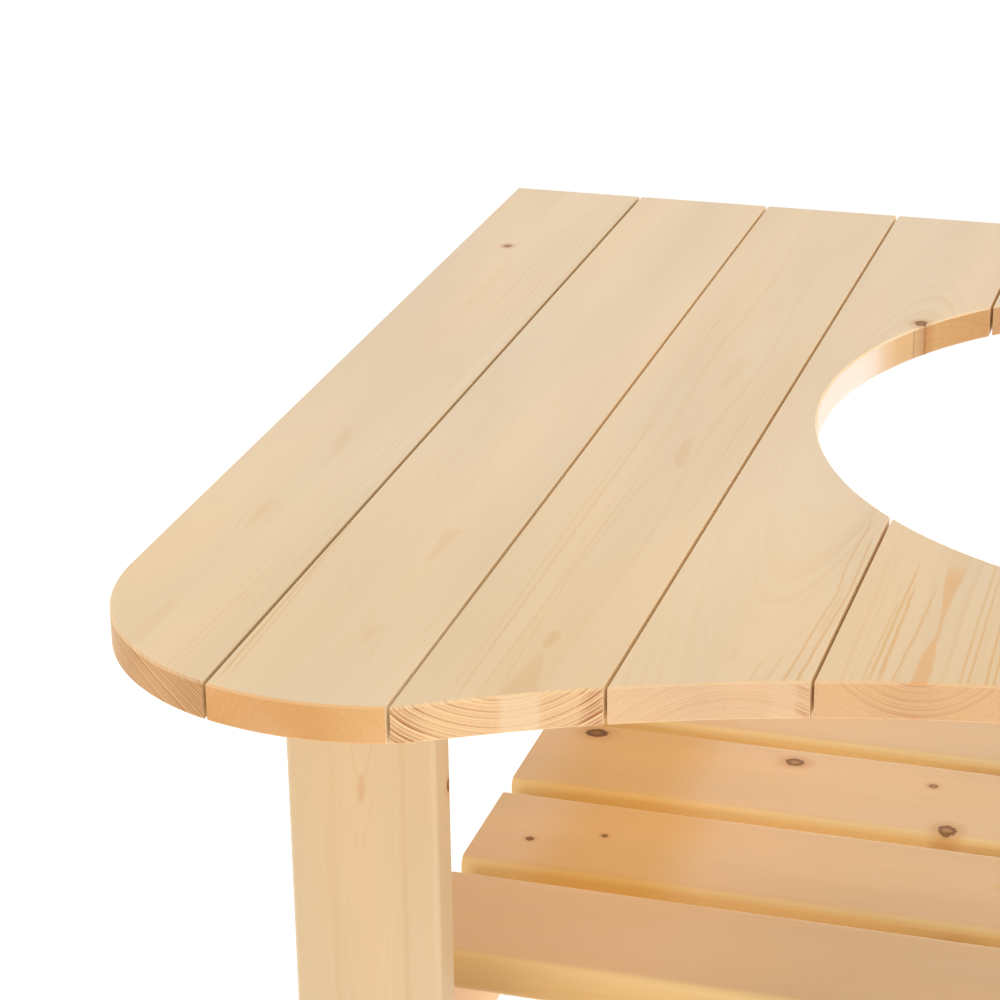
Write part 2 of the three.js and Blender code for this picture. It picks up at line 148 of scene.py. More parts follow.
def pine_group():
    """Pine as a solid: growth rings round a pith line that leans, bends and waves, cut by whatever shows.

    Place is in metres: X along the board, Y across it and Z through it."""
    floats = [
        "Seed", "Pith Across", "Lean", "Pith Through", "Slope", "Bend", "Turn", "Wave", "Crest", "Wave Length",
        "Ring Width", "Ring Start", "Wander", "Swirl", "Extra", "Pale", "Deep", "End", "Side", "Arris Highlight",
        "Contrast", "End Contrast", "Fine",
    ]
    colours = ["Early", "Late", "End Early", "End Late", "Painted Side Light"]
    tree, net, given, out = new_group(
        "pine",
        {VECTOR: ["Place"], FLOAT: floats, COLOUR: colours},
        {COLOUR: ["Color"], FLOAT: ["Roughness", "Height"]},
    )
    along, across, through = net.split(given["Place"])
    shift = net.math("MULTIPLY", given["Seed"], SEED_STRIDE)

    def stretched(lengthwise, crosswise):
        """The place, scaled for a noise that runs along the board, and moved to the board's own part of it."""
        x = net.math("MULTIPLY_ADD", along, lengthwise, shift)
        y = net.math("MULTIPLY_ADD", across, crosswise, shift)
        return net.join(x, y, net.math("MULTIPLY", through, crosswise))

    slow = net.split(net.noise(stretched(4.0, 16.0), 2.0, 0.45)["Color"])
    quick = net.split(net.noise(stretched(22.0, 90.0), 2.0, 0.5)["Color"])

    def wander(part):
        """How far the rings stray in one direction: slow waves with small quick ones on them."""
        small = net.math("MULTIPLY", net.math("SUBTRACT", quick[part], 0.5), 0.25)
        whole = net.math("ADD", net.math("SUBTRACT", slow[part], 0.5), small)
        return net.math("MULTIPLY", whole, given["Wander"])

    # Where the pith lies at this place along the board, and how far the place is from it
    pith_across = net.math("MULTIPLY_ADD", given["Lean"], along, given["Pith Across"])
    side = net.math("ADD", net.math("SUBTRACT", across, pith_across), net.math("MULTIPLY", wander(0), 3.0))

    from_turn = net.math("SUBTRACT", along, given["Turn"])
    square = net.math("ADD", net.math("POWER", from_turn, 2.0), net.math("POWER", given["Bend"], 2.0))
    bent = net.math("SUBTRACT", net.math("SQRT", square), given["Bend"])
    turns = net.math("DIVIDE", net.math("SUBTRACT", along, given["Crest"]), given["Wave Length"])
    waved = net.math("COSINE", net.math("MULTIPLY", turns, 2 * math.pi))
    pith_through = net.math("MULTIPLY_ADD", given["Slope"], bent, given["Pith Through"])
    pith_through = net.math("MULTIPLY_ADD", given["Wave"], waved, pith_through)
    depth = net.math("ADD", net.math("SUBTRACT", through, pith_through), wander(1))

    # Each ring goes slowly from early to late wood and quickly back, and some years are stronger than others
    radius = net.math("SQRT", net.math("ADD", net.math("POWER", side, 2.0), net.math("POWER", depth, 2.0)))
    radius = net.math("ADD", net.math("SUBTRACT", radius, given["Ring Start"]), given["Swirl"])
    rings = net.math("DIVIDE", radius, given["Ring Width"])
    uneven = net.math("SINE", net.math("MULTIPLY", rings, 2.4))
    rings = net.math("MULTIPLY_ADD", uneven, 0.25, rings)
    year = net.math("FLOOR", rings)
    part = net.math("FRACT", rings)
    late = net.math("MULTIPLY", net.ramp(part, 0.25, 0.90), net.ramp(part, 0.93, 1.0, 1.0, 0.0))
    strength = net.white_noise(net.math("ADD", year, shift))["Value"]
    strength = net.math("MULTIPLY_ADD", net.math("POWER", strength, 1.8), 0.80, 0.20)
    late = net.math("MULTIPLY", late, strength)
    fine = net.ramp(net.math("FRACT", net.math("MULTIPLY", rings, 3.0)), 0.2, 0.9)

    # Fibres on the faces, pores on the ends, and broad patches on both
    fibre = net.noise(stretched(28.0, 1400.0), 2.0, 0.6)["Fac"]
    pore = net.noise(stretched(900.0, 900.0), 2.0, 0.6)["Fac"]
    broad = net.split(net.noise(stretched(3.0, 18.0), 1.0, 0.5)["Color"])

    # Colour
    shown = net.math("MULTIPLY", given["Contrast"], net.ramp(broad[2], 0.35, 0.65, 0.45, 1.0))
    # Extra is a mask of streaks, and on the shelf boards also the painted shade at their left ends.
    face_late = net.math("MAXIMUM", net.math("MULTIPLY", late, shown), given["Extra"], clamp=True)
    lines = net.math("MULTIPLY", net.math("MULTIPLY_ADD", fine, given["Fine"], late), given["End Contrast"])
    end_late = net.math("MULTIPLY", lines, net.math("ADD", given["Deep"], 1.0), clamp=True)
    face = net.mix(face_late, given["Early"], given["Late"])
    # Painted light and shade: the sides are tinted lighter or darker than the face, for how the light falls on
    # them.
    face = net.tinted(face, net.mix(given["Side"], WHITE, given["Painted Side Light"]))
    end = net.mix(end_late, given["End Early"], given["End Late"])
    end = net.mix(net.ramp(broad[1], 0.35, 0.7, 0.0, 0.2), end, REDDISH_END)
    end = net.mix(given["Pale"], end, PALE_END)
    colour = net.mix(given["End"], face, end)
    face_grain = net.ramp(fibre, 0.2, 0.8, 0.98, 1.015)
    end_grain = net.ramp(pore, 0.2, 0.8, 0.95, 1.03)
    colour = net.tinted(colour, net.mix(given["End"], face_grain, end_grain))
    # Painted highlight: a paler line along the eased arris, where light catches it.
    colour = net.mix(given["Arris Highlight"], colour, PAINTED_ARRIS_HIGHLIGHT)
    colour = net.tinted(colour, net.ramp(broad[0], 0.25, 0.75, 0.95, 1.03))
    warm = net.mix(net.ramp(broad[1], 0.3, 0.7), (0.985, 1.0, 1.025, 1.0), (1.01, 0.99, 0.975, 1.0))
    colour = net.tinted(colour, warm)
    net.put(colour, out["Color"])

    # Sheen and relief
    rough = net.math("MULTIPLY_ADD", fibre, 0.14, 0.42)
    net.put(net.math("MULTIPLY_ADD", given["End"], 0.16, rough), out["Roughness"])
    net.put(net.math("MULTIPLY_ADD", late, 0.4, net.math("MULTIPLY", fibre, 0.6)), out["Height"])
    return tree


def knot_group():
    """A knot that runs through the board: a dark rim, a paler heart and a warm halo on the wood around it."""
    tree, net, given, out = new_group(
        "knot",
        {VECTOR: ["Place", "Centre"], FLOAT: ["Radius", "Stretch", "Shade"], COLOUR: ["Wood", "Heart"]},
        {COLOUR: ["Color"], FLOAT: ["Swirl"]},
    )
    away = net.split(net.vector_math("SUBTRACT", given["Place"], given["Centre"]))
    flat = net.join(net.math("DIVIDE", away[0], given["Stretch"]), away[1], 0.0)
    uneven = net.noise(net.scaled(given["Place"], 350.0), 2.0, 0.6)["Fac"]
    reach = net.math("DIVIDE", net.vector_math("LENGTH", flat), given["Radius"])
    reach = net.math("MULTIPLY_ADD", net.math("SUBTRACT", uneven, 0.5), 0.7, reach)
    halo = net.ramp(reach, 0.9, 2.6, 0.45, 0.0)
    colour = net.mix(halo, given["Wood"], KNOT_HALO)
    heart = net.mix(net.ramp(reach, 0.1, 0.75), given["Heart"], KNOT_RIM)
    inside = net.math("MULTIPLY", net.ramp(reach, 0.85, 1.1, 1.0, 0.0), given["Shade"])
    net.put(net.mix(inside, colour, heart), out["Color"])
    bulge = net.math("EXPONENT", net.math("MULTIPLY", net.math("POWER", reach, 2.0), -0.22))
    net.put(net.math("MULTIPLY", bulge, net.math("MULTIPLY", given["Radius"], 0.9)), out["Swirl"])
    return tree


PINE = pine_group()
KNOT = knot_group()
AXES = {"X": (0, 1, 2), "Y": (1, 0, 2), "Z": (2, 0, 1)}

# Colours of the planed faces and of the sawn ends, the tint that paints light and shade on the sides, and how
# strong the painted highlight on the arris is.
PALE = {
    "early": linear(223, 199, 165),
    "late": linear(212, 164, 104),
    "end_early": linear(213, 168, 118),
    "end_late": linear(178, 116, 66),
    # Painted light: the planks' side walls, in the gaps and round the outline, lighter than the face.
    "side": (1.22, 1.20, 1.08, 1.0),
    "arris_highlight": 0.3,
}
LEG = {
    **PALE,
    "early": linear(215, 185, 143),
    "late": linear(202, 152, 98),
    # Painted shade: the legs' sides darker and cooler than their fronts.
    "side": (0.88, 0.91, 0.95, 1.0),
    "arris_highlight": 0.25,
}
SHELF = {
    "early": linear(224, 188, 144),
    # The late colour is also that of the painted shade at the shelf's left end.
    "late": linear(216, 168, 93),
    "end_early": linear(214, 160, 104),
    "end_late": linear(170, 108, 58),
    # Painted highlight: the shelf boards' rounded front and back edges paler and yellower than the face.
    "side": (1.14, 1.20, 0.98, 1.0),
    "arris_highlight": 0.0,
}
WARM = {**SHELF, "early": linear(228, 192, 145), "side": WHITE}

# What differs on single boards; a side tint here is painted light and shade on that board's sides.
OWN = {
    "plank_left_1": {
        "end_early": linear(210, 166, 110),
        "end_late": linear(166, 108, 55),
        # Painted shade on this plank's sides.
        "side": (0.95, 0.88, 0.72, 1.0),
    },
    "plank_left_2": {"end_early": linear(211, 154, 90)},
    "plank_left_3": {
        "early": linear(223, 197, 161),
        "end_early": linear(230, 192, 140),
        "end_late": linear(158, 90, 50),
    },
    "plank_left_4": {"end_early": linear(214, 177, 135)},
    "plank_front_left_1": {"early": linear(222, 195, 158)},
    # Painted shade on this plank's sides.
    "plank_right_1": {"side": (0.92, 0.90, 0.86, 1.0)},
}


def new_material(name):
    """A material with a bare principled shader, as the material, its net and the shader."""
    material = bpy.data.materials.new(name)
    material.use_nodes = True
    material.node_tree.nodes.clear()
    net = Net(material.node_tree)
    output = net.add("ShaderNodeOutputMaterial")
    shader = net.add("ShaderNodeBsdfPrincipled")
    net.put(shader.outputs[0], output.inputs["Surface"])
    return material, net, shader


def follow(net, along, points, part):
    """One number of a streak's points, as it changes along the board from point to point."""
    first, second = points[0], points[1]
    value = net.ramp(along, first[1] * MM, second[1] * MM, first[part] * MM, second[part] * MM, "LINEAR")
    for here, there in zip(points[1:], points[2:]):
        step = (there[part] - here[part]) * MM
        value = net.math("ADD", value, net.ramp(along, here[1] * MM, there[1] * MM, 0.0, step, "LINEAR"))
    return value


def streaks(net, place, rows):
    """The lines and long patches of one board's face, as one mask from 0 to 1.

    Each row is strength, softness of the sides, softness of the ends, and its points from one end to the other
    as (across, along, width), in row-frame mm."""
    waves_per_metre = 70.0
    sway = 1.4 * MM
    along, across = net.split(place)[:2]
    mask = 0.0
    for strength, edge, fade, points in rows:
        own_part = float(points[0][0])
        wobble = net.noise(net.join(net.math("MULTIPLY", along, waves_per_metre), own_part, 0.0), 1.0)["Fac"]
        wobble = net.math("SUBTRACT", wobble, 0.5)
        middle = net.math("MULTIPLY_ADD", wobble, sway, follow(net, along, points, 0))
        half = net.math("MULTIPLY", follow(net, along, points, 2), 0.5)
        outside = net.math("SUBTRACT", net.math("ABSOLUTE", net.math("SUBTRACT", across, middle)), half)
        shown = net.ramp(outside, -edge / 2 * MM, edge / 2 * MM, strength, 0.0)
        first, last = points[0][1] * MM, points[-1][1] * MM
        ends = net.ramp(along, first, first + fade * MM), net.ramp(along, last - fade * MM, last, 1.0, 0.0)
        shown = net.math("MULTIPLY", shown, net.math("MULTIPLY", *ends))
        mask = net.math("MAXIMUM", shown, mask)
    return mask


def timber(node, axis, finish, grain):
    """A pine board's own material. Its length runs along the axis; the grain's places are row-frame mm."""
    material, net, shader = new_material("pine_" + node)
    texture = net.add("ShaderNodeTexCoord")
    order = AXES[axis]
    place = net.split(texture.outputs["Object"])
    place = net.join(*[place[i] for i in order])
    normal = net.split(texture.outputs["Normal"])
    # How squarely the shown surface faces along the board, across it and through it
    facing = [net.math("ABSOLUTE", normal[i]) for i in order]
    end = net.ramp(facing[0], 0.18, 0.75)
    # The eased arris, which gets a painted highlight.
    arris = net.math("MULTIPLY", net.ramp(facing[2], 0.15, 0.50), net.ramp(facing[2], 0.80, 0.97, 1.0, 0.0))

    def pith_through(along):
        bent = math.hypot(along - grain["turn"], grain["bend"]) - grain["bend"]
        waved = math.cos(2 * math.pi * (along - grain["crest"]) / grain["wave_length"])
        return grain["through"] + grain["slope"] * bent + grain["wave"] * waved

    lengths = {
        "Pith Across": grain["across"],
        "Pith Through": grain["through"],
        "Bend": grain["bend"],
        "Turn": grain["turn"],
        "Wave": grain["wave"],
        "Crest": grain["crest"],
        "Wave Length": grain["wave_length"],
        "Ring Width": grain["ring"],
        "Ring Start": abs(grain["face"] - pith_through(grain["mark"])),
        "Wander": grain["wander"],
    }
    inputs = {key: value * MM for key, value in lengths.items()}
    inputs.update({
        "Place": place,
        "Seed": grain["seed"],
        "Lean": grain["lean"],
        "Slope": grain["slope"],
        "End": end,
        "Side": net.ramp(facing[1], 0.20, 0.80),
        "Arris Highlight": net.math("MULTIPLY", arris, finish["arris_highlight"]),
        "Contrast": grain["contrast"],
        "End Contrast": grain["end_contrast"],
        "Fine": grain["fine"],
        "Extra": streaks(net, place, grain["streaks"]),
        "Pale": streaks(net, place, grain["pale"]),
        "Deep": streaks(net, place, grain["deep"]),
        "Early": finish["early"],
        "Late": finish["late"],
        "End Early": finish["end_early"],
        "End Late": finish["end_late"],
        "Painted Side Light": finish["side"],
    })
    pine = net.add("ShaderNodeGroup", inputs, node_tree=PINE)
    colour = pine.outputs["Color"]
    swirl = 0.0
    parts = net.split(place)
    sideways = net.join(parts[0], parts[2], parts[1])
    knots = [(place, knot) for knot in grain["knots"]] + [(sideways, knot) for knot in grain["side_knots"]]
    for seen, (along, across, radius, stretch, shade, heart) in knots:
        knot_inputs = {
            "Place": seen,
            "Centre": Vector((along, across, 0)) * MM,
            "Radius": radius * MM,
            "Stretch": stretch,
            "Shade": shade,
            "Wood": colour,
            "Heart": heart,
        }
        knot = net.add("ShaderNodeGroup", knot_inputs, node_tree=KNOT).outputs
        colour = knot["Color"]
        swirl = net.math("ADD", knot["Swirl"], swirl)
    net.put(swirl, pine.inputs["Swirl"])
    upward = net.ramp(facing[2], 0.2, 0.6)
    places = {"face": upward, "wall": net.math("SUBTRACT", 1.0, upward)}
    for where, tint, row in grain["tones"]:
        mask = net.math("MULTIPLY", streaks(net, place, [row]), places[where])
        colour = net.mix(mask, colour, net.tinted(colour, (*tint, 1.0)))
    if grain["cracks"]:
        crack = net.math("MULTIPLY", streaks(net, place, grain["cracks"]), end)
        colour = net.mix(crack, colour, CRACK)
    relief = {"Height": pine.outputs["Height"], "Strength": 0.3, "Distance": 0.2 * MM}
    bump = net.add("ShaderNodeBump", relief)
    net.put(colour, shader.inputs["Base Color"])
    net.put(pine.outputs["Roughness"], shader.inputs["Roughness"])
    net.put(bump.outputs[0], shader.inputs["Normal"])
    shader.inputs["IOR"].default_value = 1.5
    shader.inputs["Specular IOR Level"].default_value = 0.3
    return material


def grain_of(node, axis, face, draw, **given):
    """The grain of one board: drawn from the seeded numbers, but for what is given."""
    low, high = [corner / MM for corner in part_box(node)]
    along, across, through = AXES[axis]
    middle = (low + high) / 2
    outward = 1 if face == "high" else -1
    face_place = (high if outward == 1 else low)[through]
    below = draw.choice((-1, -1, 1))
    depth = draw.uniform(18, 60)
    grain = {
        "seed": draw.uniform(0, 100),
        "face": face_place,
        "across": middle[across] + draw.uniform(-18, 18),
        "through": face_place + outward * below * depth,
        "lean": draw.uniform(-0.01, 0.01),
        "slope": draw.uniform(0.02, 0.05) * below * outward,
        "bend": draw.uniform(60, 160),
        "turn": middle[along] + draw.uniform(-250, 250),
        "wave": 0.0,
        "crest": 0.0,
        "wave_length": 300.0,
        "mark": middle[along],
        "ring": draw.uniform(1.9, 3.2),
        "wander": 1.2,
        "contrast": 0.34,
        "end_contrast": 0.6,
        "fine": 0.3,
        "streaks": [],
        "pale": [],
        "deep": [],
        "tones": [],
        "cracks": [],
        "knots": [],
        "side_knots": [],
    }
    grain.update(given)
    return grain


# The figure of the boards that the photograph shows. Places are in the row frame, in mm. A streak is its
# strength, the softness of its sides and of its ends, and its points as (across, along, width), in the order of
# along. A knot is (along, across, radius, stretch along the board, shade, heart), and a knot on a side has its
# place through the board instead of across it. A tone is where it shows, its tint and a streak.
# Some streaks and tones below are painted light and shade; each is noted where it stands.
FIGURES = {
    "plank_left_1": dict(
        across=-572, lean=0.02, through=640, slope=-0.0112, bend=60, turn=-155, mark=-235, ring=2.6,
        wander=0.7, contrast=0.24, end_contrast=0.9, fine=1.0,
        streaks=[
            (0.18, 6, 30, [(-541, -410, 8), (-541, -350, 6), (-540, -316, 2)]),
            (0.22, 5, 16, [(-540, -246, 2), (-540, -215, 8), (-540, -184, 9)]),
            (0.20, 1.6, 20, [(-540.5, -285, 1.2), (-544, -262, 1.2), (-548, -215, 1.2), (-546, -190, 1.2)]),
            (0.20, 1.6, 20, [(-538.5, -285, 1.2), (-534, -262, 1.2), (-531, -215, 1.2), (-533, -180, 1.2)]),
            (0.22, 5, 16, [(-529, -128, 3), (-534, -92, 8), (-538, -66, 4)]),
            (0.16, 8, 40, [(-536, 130, 8), (-536, 280, 7)]),
        ],
        knots=[(294, -549, 3.0, 1.2, 0.65, DARK_HEART)],
    ),
    "plank_left_2": dict(
        across=-426.5, lean=0, through=761.4, slope=-0.04, bend=160, turn=60, mark=-362, ring=2.6, wander=0.7,
        contrast=0.18, end_contrast=0.14, fine=0.0,
        tones=[("wall", (1.04, 1.12, 1.30), (1.0, 30, 5, [(-396, -470, 40), (-396, -300, 40)]))],
        streaks=[
            (0.75, 1.2, 30, [(-482.5, -430, 1.2), (-483.5, -330, 0.9), (-485.5, -200, 0.6)]),
            (0.45, 1.2, 30, [(-478.5, -430, 0.8), (-480.5, -330, 0.8), (-484, -240, 0.6)]),
            (0.26, 4, 10, [(-427, -260, 1), (-426.5, -235, 5), (-426, -204, 11)]),
            (0.22, 5, 14, [(-427, -370, 2), (-426.5, -334, 9)]),
            (0.22, 1.6, 16, [(-438, -392, 1.2), (-434, -362, 1.2), (-430, -330, 1.0)]),
            (0.22, 1.6, 16, [(-416, -392, 1.2), (-419, -362, 1.2), (-423, -330, 1.0)]),
            (0.22, 3, 20, [(-434, -190, 1.2), (-440, -100, 1.2), (-447, 0, 1.2)]),
            (0.18, 3, 20, [(-419, -200, 1.2), (-415, -150, 1.2)]),
        ],
    ),
    "plank_left_3": dict(
        across=-335.5, lean=0, through=824, slope=0, bend=100, turn=0, wave=-0.82, crest=-190,
        wave_length=300, mark=-338, ring=3.0, wander=0.6, contrast=0.26, end_contrast=0.62, fine=0.5,
        streaks=[
            (0.34, 1.6, 30, [(-361, -420, 1.6), (-361, 10, 1.2)]),
            (0.24, 1.6, 30, [(-366, -420, 1.0), (-365, -60, 1.0)]),
            (0.32, 1.8, 30, [(-352, -420, 1.2), (-346, -90, 1.2)]),
            (0.28, 1.8, 30, [(-342, -420, 1.0), (-347, -250, 1.0), (-340, -90, 1.0)]),
            (0.26, 4, 10, [(-332.5, -430, 20), (-332.5, -392, 18), (-334, -360, 7), (-335, -343, 2)]),
            (0.32, 3, 6, [(-334.5, -346, 3), (-334, -333, 8), (-334, -319, 5)]),
            (0.30, 4, 10, [(-327, -92, 3), (-331, -70, 8), (-333.5, -34, 4)]),
            (0.22, 5, 16, [(-334, 36, 4), (-333, 80, 9), (-333, 116, 4)]),
        ],
        pale=[(0.62, 5, 5, [(-331.5, -460, 18), (-331.5, -300, 18)])],
        deep=[
            (1.6, 8, 5, [(-298, -460, 9), (-298, -300, 9)]),
            (0.8, 14, 5, [(-382, -460, 12), (-382, -300, 12)]),
        ],
    ),
    "plank_left_4": dict(
        across=-234, lean=0, through=720, slope=-0.066, bend=60, turn=0, mark=-302, ring=2.5, wander=0.5,
        contrast=0.21, end_contrast=0.26, fine=0.15,
        streaks=[
            (0.62, 1.4, 20, [
                (-209.5, -362, 2.0), (-207, -300, 1.4), (-204, -236, 1.0), (-206, -200, 1.0),
                (-204, -128, 1.2),
            ]),
            (0.70, 1.4, 20, [(-203, -362, 2.0), (-201, -300, 1.4), (-198, -236, 1.0), (-200, -150, 1.0)]),
            (0.34, 1.8, 14, [(-218, -366, 1.8), (-215, -310, 1.0)]),
            (0.34, 1.8, 10, [(-226, -366, 1.8), (-224, -322, 1.0)]),
            (0.30, 4, 16, [(-203, -300, 3), (-201, -230, 3)]),
            (0.20, 4, 5, [(-240, -334, 4), (-240, -314, 3)]),
        ],
        pale=[(0.15, 7, 5, [(-209, -460, 12), (-209, -250, 12)])],
        deep=[(2.4, 5, 5, [(-199.5, -460, 6), (-199.5, -250, 6)])],
        tones=[
            ("wall", (0.90, 0.78, 0.56), (1.0, 2, 5, [(-214, 100, 36), (-214, 420, 36)])),
            ("wall", (0.96, 0.86, 0.72), (1.0, 10, 5, [(-244, 100, 22), (-244, 420, 22)])),
            # Painted highlight: the strip of the cut-out's left inner wall that strong light from the right
            # blows out near white.
            ("wall", (1.08, 1.27, 1.85), (1.0, 12, 30, [(-263, 10, 26), (-263, 240, 26)])),
        ],
        knots=[(202, -235, 4.2, 1.2, 0.85, DARK_HEART)],
        cracks=[
            (0.7, 0.8, 5, [(-237, 150, 0.7), (-237, 230, 0.7)]),
            (0.7, 0.8, 5, [(-231.5, 150, 0.7), (-231.5, 230, 0.7)]),
            (0.18, 2, 5, [(-234.2, 150, 5), (-234.2, 230, 5)]),
        ],
    ),
    "plank_front_left_1": dict(
        across=-151.3, lean=-0.022, through=810, slope=0, bend=100, turn=0, wave=0.3, crest=-250,
        wave_length=120, mark=-250, ring=2.6, wander=0.35, contrast=0.26, end_contrast=0.32,
        deep=[(0.9, 20, 5, [(-150, -460, 20), (-150, -250, 20)])],
        tones=[
            ("face", (1.0, 0.82, 0.64), (1.0, 1.6, 34, [
                (-143.7, -376, 9), (-144.1, -316, 8), (-144.4, -301, 6.7), (-144.6, -286, 2.9),
                (-143.7, -274, 1.8), (-145.2, -261, 1.8), (-145.6, -246, 2.8), (-146.6, -227, 5.4),
                (-147.6, -205, 9), (-148, -178, 11),
            ])),
            ("face", (1.0, 0.97, 0.92), (1.0, 3, 30, [
                (-147.4, -222, 6), (-148.1, -177, 12), (-148.3, -110, 14),
            ])),
        ],
        streaks=[
            (0.70, 1.6, 30, [(-168.5, -350, 1.8), (-168.5, -226, 1.4), (-168, -175, 0.8)]),
            (0.70, 1.6, 30, [(-163.8, -350, 2.6), (-164.4, -290, 2.0), (-166, -205, 1.2)]),
            (0.50, 1.4, 20, [(-172, -350, 1.2), (-170.5, -232, 1.0)]),
            (0.60, 1.4, 20, [(-157.5, -350, 1.4), (-155, -270, 1.6), (-154.5, -212, 1.0)]),
            (0.32, 1.6, 30, [(-133.5, -340, 1.2), (-136.5, -180, 1.0)]),
            (0.60, 1.4, 20, [(-124, -345, 1.2), (-126.5, -260, 1.2), (-128.5, -170, 1.0)]),
            (0.60, 1.4, 20, [(-120, -345, 1.4), (-124.5, -185, 1.0)]),
            (0.65, 1.4, 20, [(-111, -345, 1.6), (-115.5, -240, 1.2)]),
            (0.65, 1.4, 20, [(-107.5, -345, 1.4), (-111.5, -220, 1.2)]),
        ],
    ),
    "shelf_board_3": dict(
        contrast=0.24,
        # The broad streak over the whole board at its left end is painted shade: the warm shade under the top.
        streaks=[(0.68, 30, 50, [(65, -468, 140), (65, -324, 140)])],
        knots=[
            (-429, 97.5, 6.0, 1.3, 1.0, DARK_HEART), (-290, 91, 5.0, 1.35, 0.85, PALE_HEART),
            (-195.5, 82, 2.6, 1.2, 0.8, PALE_HEART), (-177, 25, 6.0, 1.05, 0.85, PALE_HEART),
        ],
    ),
    "shelf_board_2": dict(
        contrast=0.24,
        streaks=[
            # Painted shade: the broad streak at the left end, the warm shade under the top.
            (0.76, 30, 52, [(-44, -446, 140), (-44, -304, 140)]),
            (0.55, 1.2, 20, [(-37.5, -470, 0.8), (-38.5, -425, 0.8), (-42, -395, 0.8), (-40, -355, 0.8)]),
            (0.40, 1.2, 20, [(-46, -455, 0.8), (-43.5, -420, 0.8), (-44.5, -380, 0.6)]),
        ],
        knots=[(-431, -57, 2.4, 1.1, 0.95, DARK_HEART), (-386, -40.5, 2.2, 1.0, 0.9, DARK_HEART)],
    ),
    "leg_front_left": dict(
        across=-456, lean=0, through=-275, slope=0.035, bend=60, turn=900, mark=656, ring=2.8, contrast=0.15,
        streaks=[
            (0.50, 4, 5, [(-456, 645, 1), (-455.5, 656, 5), (-455, 668, 2)]),
            (0.20, 1.6, 10, [(-456, 648, 1), (-458.5, 668, 1), (-461, 690, 1), (-464, 720, 1)]),
            (0.24, 1.6, 10, [(-454.5, 648, 1), (-452.7, 664, 1.2), (-448.5, 684, 1.2), (-445, 715, 1)]),
            (0.22, 2, 8, [(-457.3, 617, 1.5), (-461, 630, 1), (-467, 642, 1), (-474, 658, 1)]),
            (0.20, 2, 8, [(-456.6, 617, 1.5), (-454, 630, 1), (-451, 642, 1), (-446, 656, 1)]),
            (0.26, 5, 30, [(-432, 480, 3), (-431, 720, 3)]),
            (0.18, 6, 30, [(-474, 480, 3), (-472, 720, 3)]),
            (0.30, 3, 5, [(-488.6, 644, 2), (-488.2, 652, 3)]),
        ],
        side_knots=[(654, -273, 2.6, 1.5, 0.9, DARK_HEART)],
    ),
}


# The front of the top is a little yellower than its rear. The middle of the shelf's length is painted darker:
# painted shade that evens out the light falling through the cut-out onto it.
FRONT_TONE = ("face", (1.0, 0.965, 0.885), (1.0, 30, 320, [(0, -800, 3000), (0, -40, 3000)]))
SHELF_PAINTED_SHADE = ("face", (0.86, 0.88, 0.88), (1.0, 30, 190, [(0, -370, 3000), (0, 370, 3000)]))


# Start of a node's name: direction of its length, finish, and which of its sides is the face.
TIMBER = {
    "plank": ("Y", PALE, "high"),
    "leg": ("Z", LEG, "low"),
    "shelf_board": ("X", SHELF, "high"),
    "cleat": ("X", WARM, "low"),
    "shelf_rail": ("X", WARM, "low"),
    "top_bearer": ("Y", WARM, "low"),
    "shelf_bearer": ("Y", WARM, "low"),
}


# How wide the bevel is that rounds the arrises of the other boards; the planks' solids have their own.
BEVEL = 0.6 * MM


def dress(node, material):
    """Gives a solid its material."""
    mesh = NODES[node].data
    mesh.materials.clear()
    mesh.materials.append(material)


def smooth_group():
    """Smooth shading on every face, for the weighted normals that make the eased arrises look round."""
    tree = bpy.data.node_groups.new("smooth_faces", "GeometryNodeTree")
    for direction in ("INPUT", "OUTPUT"):
        tree.interface.new_socket(name="Geometry", in_out=direction, socket_type="NodeSocketGeometry")
    net = Net(tree)
    given = net.add("NodeGroupInput").outputs[0]
    smooth = net.add("GeometryNodeSetShadeSmooth", {"Geometry": given})
    net.put(smooth.outputs[0], net.add("NodeGroupOutput").inputs[0])
    return tree


def soften(node, smooth, sharp):
    """Rounds the arrises of a board: a small bevel if the solid's edges are sharp, and weighted normals."""
    board = NODES[node]
    if sharp:
        bevel = board.modifiers.new("arris", "BEVEL")
        bevel.width = BEVEL
        bevel.segments = 2
        bevel.limit_method = "ANGLE"
        bevel.angle_limit = math.radians(50)
    board.modifiers.new("smooth", "NODES").node_group = smooth
    board.modifiers.new("normals", "WEIGHTED_NORMAL").keep_sharp = False


def dress_timber():
    """Gives each board its own piece of pine: its known figure, and what that leaves open drawn at random."""
    draw = random.Random(27)
    smooth = smooth_group()
    for node in sorted(NODES):
        for start, (axis, finish, face) in TIMBER.items():
            if node.startswith(start):
                grain = grain_of(node, axis, face, draw, **FIGURES.get(node, {}))
                shared = {"plank": [FRONT_TONE], "shelf_board": [SHELF_PAINTED_SHADE]}.get(start, [])
                grain["tones"] = shared + grain["tones"]
                dress(node, timber(node, axis, {**finish, **OWN.get(node, {})}, grain))
                soften(node, smooth, start != "plank")


def zinc():
    """Bright zinc plate, with the faint spangle and stain of hardware that is stored outdoors."""
    material, net, shader = new_material("zinc")
    place = net.add("ShaderNodeTexCoord").outputs["Object"]
    patch = net.noise(net.scaled(place, 220.0), 3.0, 0.6)["Fac"]
    colour = net.mix(patch, linear(176, 178, 180), linear(204, 206, 207))
    net.put(colour, shader.inputs["Base Color"])
    net.put(net.ramp(patch, 0.3, 0.7, 0.28, 0.42), shader.inputs["Roughness"])
    shader.inputs["Metallic"].default_value = 1.0
    return material


